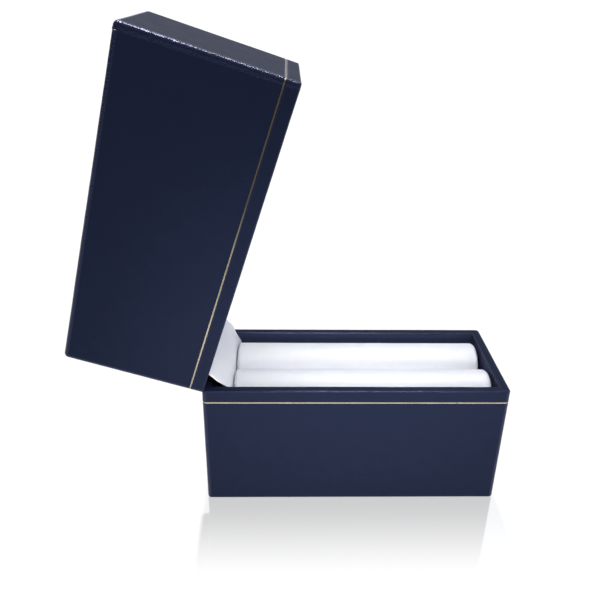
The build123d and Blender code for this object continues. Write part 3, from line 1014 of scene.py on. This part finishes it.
roll_r = 17.0 * MM
roll_cover_t = 0.8 * MM
roll_puff = Vector((1.1 * MM, 0, 0))
roll_tree = roll_cover_tree()
for seed, side in enumerate(("left", "right")):
    low, high = box_of(f"{side}_roll_cover")
    # The cover puffs out a little past the disc at the front, as in the photograph
    high += roll_puff
    middle = (low + high) / 2
    cover = new_object(f"{side}_padded_cover", bpy.data.meshes.new(f"{side}_padded_cover"))
    settings = {"Length": high.x - low.x, "Radius": roll_r, "Seed": 3.0 + 5 * seed, "Finish": white_cover}
    build_by_nodes(cover, roll_tree, settings)
    tidy_mesh(cover.data)
    wall = cover.modifiers.new("cover thickness", "SOLIDIFY")
    wall.thickness = roll_cover_t
    wall.offset = -1
    settle(cover)
    cover.data.transform(Matrix.Translation(middle))
    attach(cover, f"{side}_roll")
    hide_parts(f"{side}_roll_cover")


# Padded lining under the lid's top: a white cloth cover over foam, swollen by a cloth simulation
pad_low_x = -86.5 * MM
pad_high_x = 98.9 * MM
pad_half = 37.9 * MM
pad_t = 6.0 * MM
pad_swell_limit = 3.0 * MM
pad_start_t = 3.6 * MM
pad_inset = 0.8 * MM
pad_mesh_size = 3.0 * MM
pad_glue_depth = 0.6 * MM
pad_edge_width = 9.0 * MM
pad_edge_share = 0.8
cloth_frames = 20


def ceiling_z(x):
    """Height of the shut lid's inner top at x."""
    return lid_top_z(x) - skin_t - board_t


def soft_pad():
    """The lid's pad in the shut lid: glued flat to the ceiling, crowned on the side that shows."""
    work = bmesh.new()
    bmesh.ops.create_cube(work, size=1.0)
    size = Vector((pad_high_x - pad_low_x - 2 * pad_inset, 2 * (pad_half - pad_inset), pad_start_t))
    for vert in work.verts:
        vert.co = Vector((vert.co.x * size.x, vert.co.y * size.y, (vert.co.z - 0.5) * size.z))
    bmesh.ops.recalc_face_normals(work, faces=work.faces)
    mesh = bpy.data.meshes.new("lid_padding")
    work.to_mesh(mesh)
    work.free()
    pad = new_object("lid_padding", mesh)
    remesh = pad.modifiers.new("even mesh", "REMESH")
    remesh.mode = "VOXEL"
    remesh.voxel_size = pad_mesh_size
    settle(pad)
    resting = np.array([vert.co[:] for vert in pad.data.vertices])
    glued = pad.vertex_groups.new(name="glued")
    held = np.nonzero(resting[:, 2] > -pad_glue_depth)[0]
    glued.add([int(i) for i in held], 1.0, "REPLACE")
    cloth = pad.modifiers.new("cloth", "CLOTH")
    cloth.settings.vertex_group_mass = "glued"
    cloth.settings.use_pressure = True
    cloth.settings.uniform_pressure_force = 4.0
    cloth.settings.effector_weights.gravity = 0
    cloth.settings.quality = 6
    for frame_number in range(1, cloth_frames + 1):
        scene.frame_set(frame_number)
    settle(pad)
    scene.frame_set(1)
    for i, vert in enumerate(pad.data.vertices):
        moved = vert.co - Vector(resting[i])
        if moved.length > pad_swell_limit:
            vert.co = Vector(resting[i]) + moved.normalized() * pad_swell_limit
    for vert in pad.data.vertices:
        # The cover is pulled down to a thin edge where it is turned in behind the card
        edge_x = size.x / 2 - abs(vert.co.x)
        edge_y = size.y / 2 - abs(vert.co.y)
        edge = max(0.0, min(1.0, min(edge_x, edge_y) / pad_edge_width))
        full = pad_start_t + (pad_t - pad_start_t) * math.sin(edge * math.pi / 2)
        low = min(0.0, vert.co.z)
        share = min(1.0, -low / pad_start_t)
        vert.co.z = max(-pad_t, low - (full - pad_start_t) * share * pad_edge_share)
        vert.co.x += (pad_low_x + pad_high_x) / 2
        vert.co.z += ceiling_z(vert.co.x)
    smooth = pad.modifiers.new("smooth", "SUBSURF")
    smooth.levels = 1
    smooth.render_levels = 1
    settle(pad)
    tidy_mesh(pad.data)
    pad.data.materials.clear()
    pad.data.materials.append(white_satin)
    pad.data.transform(lid_opening)
    return pad


lid_padding = soft_pad()
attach(lid_padding, "lid")
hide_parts("lid_pad")


# Round-headed nails of the hinge: Geometry Nodes set one dome after another along a leaf
def nail_row_tree():
    """Geometry Nodes that set a row of nail heads along Y, domes towards +X."""
    sizes = {"Nails": 3, "Pitch": 0.014, "Head Radius": 0.0016, "Head Height": 0.0006}
    tree, given = begin_tree("nail_row", sizes)
    dome = add_node(tree, "GeometryNodeMeshUVSphere", {"Segments": 24, "Rings": 16, "Radius": 1.0})
    head_size = add_node(
        tree,
        "ShaderNodeCombineXYZ",
        {0: given.outputs["Head Height"], 1: given.outputs["Head Radius"], 2: given.outputs["Head Radius"]},
    )
    head = add_node(
        tree, "GeometryNodeTransform", {"Geometry": dome.outputs["Mesh"], "Scale": head_size.outputs[0]}
    )
    step = add_node(tree, "ShaderNodeCombineXYZ", {1: given.outputs["Pitch"]})
    row = add_node(
        tree, "GeometryNodeMeshLine", {"Count": given.outputs["Nails"], "Offset": step.outputs[0]}
    )
    points = add_node(tree, "GeometryNodeMeshToPoints", {"Mesh": row.outputs[0]})
    heads = add_node(
        tree, "GeometryNodeInstanceOnPoints", {"Points": points.outputs[0], "Instance": head.outputs[0]}
    )
    return end_tree(tree, given, heads)


nail_tree = nail_row_tree()
nail_pitch = 14.0 * MM
nail_count = 3
wing_face_x = hinge_point.x + 5.8 * MM
nail_from_pin = 8.6 * MM
for half_name, way in (("base", -1), ("lid", 1)):
    heads = new_object(f"hinge_{half_name}_nail_heads", bpy.data.meshes.new("nail_heads"))
    settings = {"Nails": nail_count, "Pitch": nail_pitch, "Finish": black_steel}
    build_by_nodes(heads, nail_tree, settings)
    tidy_mesh(heads.data, 1e-7)
    height = hinge_point.z + way * nail_from_pin
    heads.data.transform(Matrix.Translation((wing_face_x, -nail_pitch * (nail_count - 1) / 2, height)))
    if way == 1:
        heads.data.transform(lid_opening)
    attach(heads, half_name)
    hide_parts(f"hinge_{half_name}_nails")


# Stage: a white floor that glows a little, as back-lit acrylic does, polished close round the box. There it
# glows less, so that the polish shows the box's reflection; where it mirrors no bright sky, the dimmer glow
# is painted shade round the box's foot
def place_lamp(name, at, aim, size, watts):
    """A rectangular soft light at a point, facing another and not seen itself."""
    light = bpy.data.lights.new(name, "AREA")
    light.shape = "RECTANGLE"
    light.size, light.size_y = size
    light.energy = watts
    lamp = new_object(name, light)
    lamp.location = at
    lamp.rotation_euler = (Vector(aim) - Vector(at)).to_track_quat("-Z", "Y").to_euler()
    lamp.visible_camera = False
    return lamp


floor_half = 14.0
floor_glow = 1.03
floor_glow_near_painted_shade = 0.60
polish_reach = 85 * MM
polish_end_factor = 18
floor_black = (0.02, 0.02, 0.02, 1)
floor_corners = [(-floor_half, -floor_half, 0), (floor_half, -floor_half, 0)]
floor_corners += [(floor_half, floor_half, 0), (-floor_half, floor_half, 0)]
floor_mesh = bpy.data.meshes.new("floor")
floor_mesh.from_pydata(floor_corners, [], [(0, 1, 2, 3)])
floor = new_object("floor", floor_mesh)
floor_material, floor_tree, floor_shader = new_material("white_acrylic_floor")
floor_place = add_node(floor_tree, "ShaderNodeTexCoord").outputs["Object"]
floor_sides = add_node(floor_tree, "ShaderNodeVectorMath", {0: floor_place}, operation="ABSOLUTE")
floor_past = add_node(
    floor_tree,
    "ShaderNodeVectorMath",
    {0: floor_sides.outputs[0], 1: (base_half.x, base_half.y, 0)},
    operation="SUBTRACT",
)
# Past the box's ends the polish stops within half a centimetre, so that the lid isn't mirrored
floor_uneven = add_node(
    floor_tree,
    "ShaderNodeVectorMath",
    {0: floor_past.outputs[0], 1: (polish_end_factor, 1, 1)},
    operation="MULTIPLY",
)
floor_outside = add_node(
    floor_tree, "ShaderNodeVectorMath", {0: floor_uneven.outputs[0], 1: (0, 0, 0)}, operation="MAXIMUM"
)
floor_gap = add_node(floor_tree, "ShaderNodeVectorMath", {0: floor_outside.outputs[0]}, operation="LENGTH")
floor_fade = add_node(
    floor_tree,
    "ShaderNodeMapRange",
    {"Value": floor_gap.outputs["Value"], "From Min": 0.0, "From Max": polish_reach},
    interpolation_type="SMOOTHSTEP",
)
# Dimmer glow close round the box: partly room for the real reflection, partly painted shade
floor_light = add_node(
    floor_tree,
    "ShaderNodeMapRange",
    {"Value": floor_fade.outputs[0], "To Min": floor_glow_near_painted_shade, "To Max": floor_glow},
)
floor_polish = add_node(
    floor_tree, "ShaderNodeMapRange", {"Value": floor_fade.outputs[0], "To Min": 1.0, "To Max": 0.0}
)
floor_inputs = {
    "Base Color": floor_black,
    "Roughness": 0.06,
    "IOR": 2.2,
    "Emission Color": srgb("FFFFFF"),
    "Emission Strength": floor_light.outputs[0],
    "Specular IOR Level": floor_polish.outputs[0],
}
feed(floor_tree, floor_shader, floor_inputs)
floor_mesh.materials.append(floor_material)

# A white backdrop that only the camera sees, so that the studio dome alone lights the box
backdrop_mesh = bpy.data.meshes.new("backdrop")
backdrop_form = bmesh.new()
bmesh.ops.create_icosphere(backdrop_form, subdivisions=5, radius=floor_half * 0.95)
bmesh.ops.reverse_faces(backdrop_form, faces=backdrop_form.faces)
backdrop_form.to_mesh(backdrop_mesh)
backdrop_form.free()
backdrop = new_object("backdrop", backdrop_mesh)
backdrop.visible_diffuse = False
backdrop.visible_glossy = False
backdrop.visible_transmission = False
backdrop.visible_shadow = False
backdrop_material, backdrop_tree, backdrop_shader = new_material("white_backdrop")
backdrop_inputs = {
    "Base Color": (0, 0, 0, 1),
    "Specular IOR Level": 0.0,
    "Emission Color": srgb("FFFFFF"),
    "Emission Strength": floor_glow,
}
feed(backdrop_tree, backdrop_shader, backdrop_inputs)
backdrop_mesh.materials.append(backdrop_material)

# Lamps: name, place, aim, size in metres, watts, colour and spread in degrees
for name, at, aim, size, watts, colour, spread in (
    ("edge_glint", (-0.08, 0.12, 1.1), (-0.08, 0.0, 0.25), (0.5, 0.12), 20.0, (1, 1, 1), 180),
    ("low_front_strip", (0.0, -0.20, 0.05), (0.0, 0.0, 0.05), (0.34, 0.03), 0.25, (1, 0.92, 0.80), 180),
    ("far_wall_strip", (0.03, -0.36, 0.165), (0.02, 0.037, 0.088), (0.22, 0.03), 0.026, (1, 0.95, 0.88), 40),
    ("roll_light", (0.005, -0.24, 0.34), (0.0, 0.0, 0.085), (0.22, 0.05), 0.062, (1, 1, 1), 52),
):
    lamp = place_lamp(name, at, aim, size, watts)
    lamp.data.color = colour
    lamp.data.spread = math.radians(spread)
    # The glint only shows as a shine on rounded edges
    lamp.visible_diffuse = name != "edge_glint"

sky = bpy.data.worlds.new("studio_dome")
sky.use_nodes = True
sky_tree = sky.node_tree
sky_tree.nodes.clear()
sky_low_colour = (0.80, 0.85, 1.06, 1.0)
sky_high_colour = (0.92, 0.945, 1.0, 1.0)
sky_way = add_node(sky_tree, "ShaderNodeTexCoord").outputs["Generated"]
sky_height = add_node(
    sky_tree, "ShaderNodeVectorMath", {0: sky_way, 1: (0.22, 0.42, 0.85)}, operation="DOT_PRODUCT"
)
sky_light = add_node(
    sky_tree,
    "ShaderNodeMapRange",
    {
        "Value": sky_height.outputs["Value"],
        "From Min": -0.15,
        "From Max": 1.0,
        "To Min": 0.03,
        "To Max": 1.27,
    },
)
# Its lower part is bluer than its top
sky_parts = add_node(sky_tree, "ShaderNodeSeparateXYZ", {0: sky_way})
sky_rise = add_node(
    sky_tree, "ShaderNodeMapRange", {"Value": sky_parts.outputs["Z"], "From Min": 0.15, "From Max": 0.5}
)
sky_colour = add_node(
    sky_tree,
    "ShaderNodeMixRGB",
    {"Fac": sky_rise.outputs[0], "Color1": sky_low_colour, "Color2": sky_high_colour},
)
sky_glow = add_node(
    sky_tree,
    "ShaderNodeBackground",
    {"Color": sky_colour.outputs[0], "Strength": sky_light.outputs[0]},
)
add_node(sky_tree, "ShaderNodeOutputWorld", {"Surface": sky_glow.outputs[0]})
scene.world = sky
scene.view_settings.view_transform = "Standard"

# Camera, where the fit to the photograph's corners puts it
focal_px = 667.46
frame_px = 600
camera_at = Vector((-49.3, -420.8, 347.7)) * MM
tilt = math.radians(26.13)
yaw = math.radians(1.46)
lean = math.radians(0.88)
forward = Vector((math.sin(yaw) * math.cos(tilt), math.cos(yaw) * math.cos(tilt), -math.sin(tilt)))
level = Vector((math.cos(yaw), -math.sin(yaw), 0))
upward = level.cross(forward)
right = math.cos(lean) * level + math.sin(lean) * upward
above = -math.sin(lean) * level + math.cos(lean) * upward
camera_data = bpy.data.cameras.new("camera")
camera_data.sensor_width = 36
camera_data.lens = focal_px / frame_px * camera_data.sensor_width
camera_data.clip_start = 0.02
camera_data.clip_end = 60
camera = new_object("camera", camera_data)
camera_turn = Matrix((right, above, -forward)).transposed()
camera.matrix_world = Matrix.Translation(camera_at) @ camera_turn.to_4x4()
scene.camera = camera
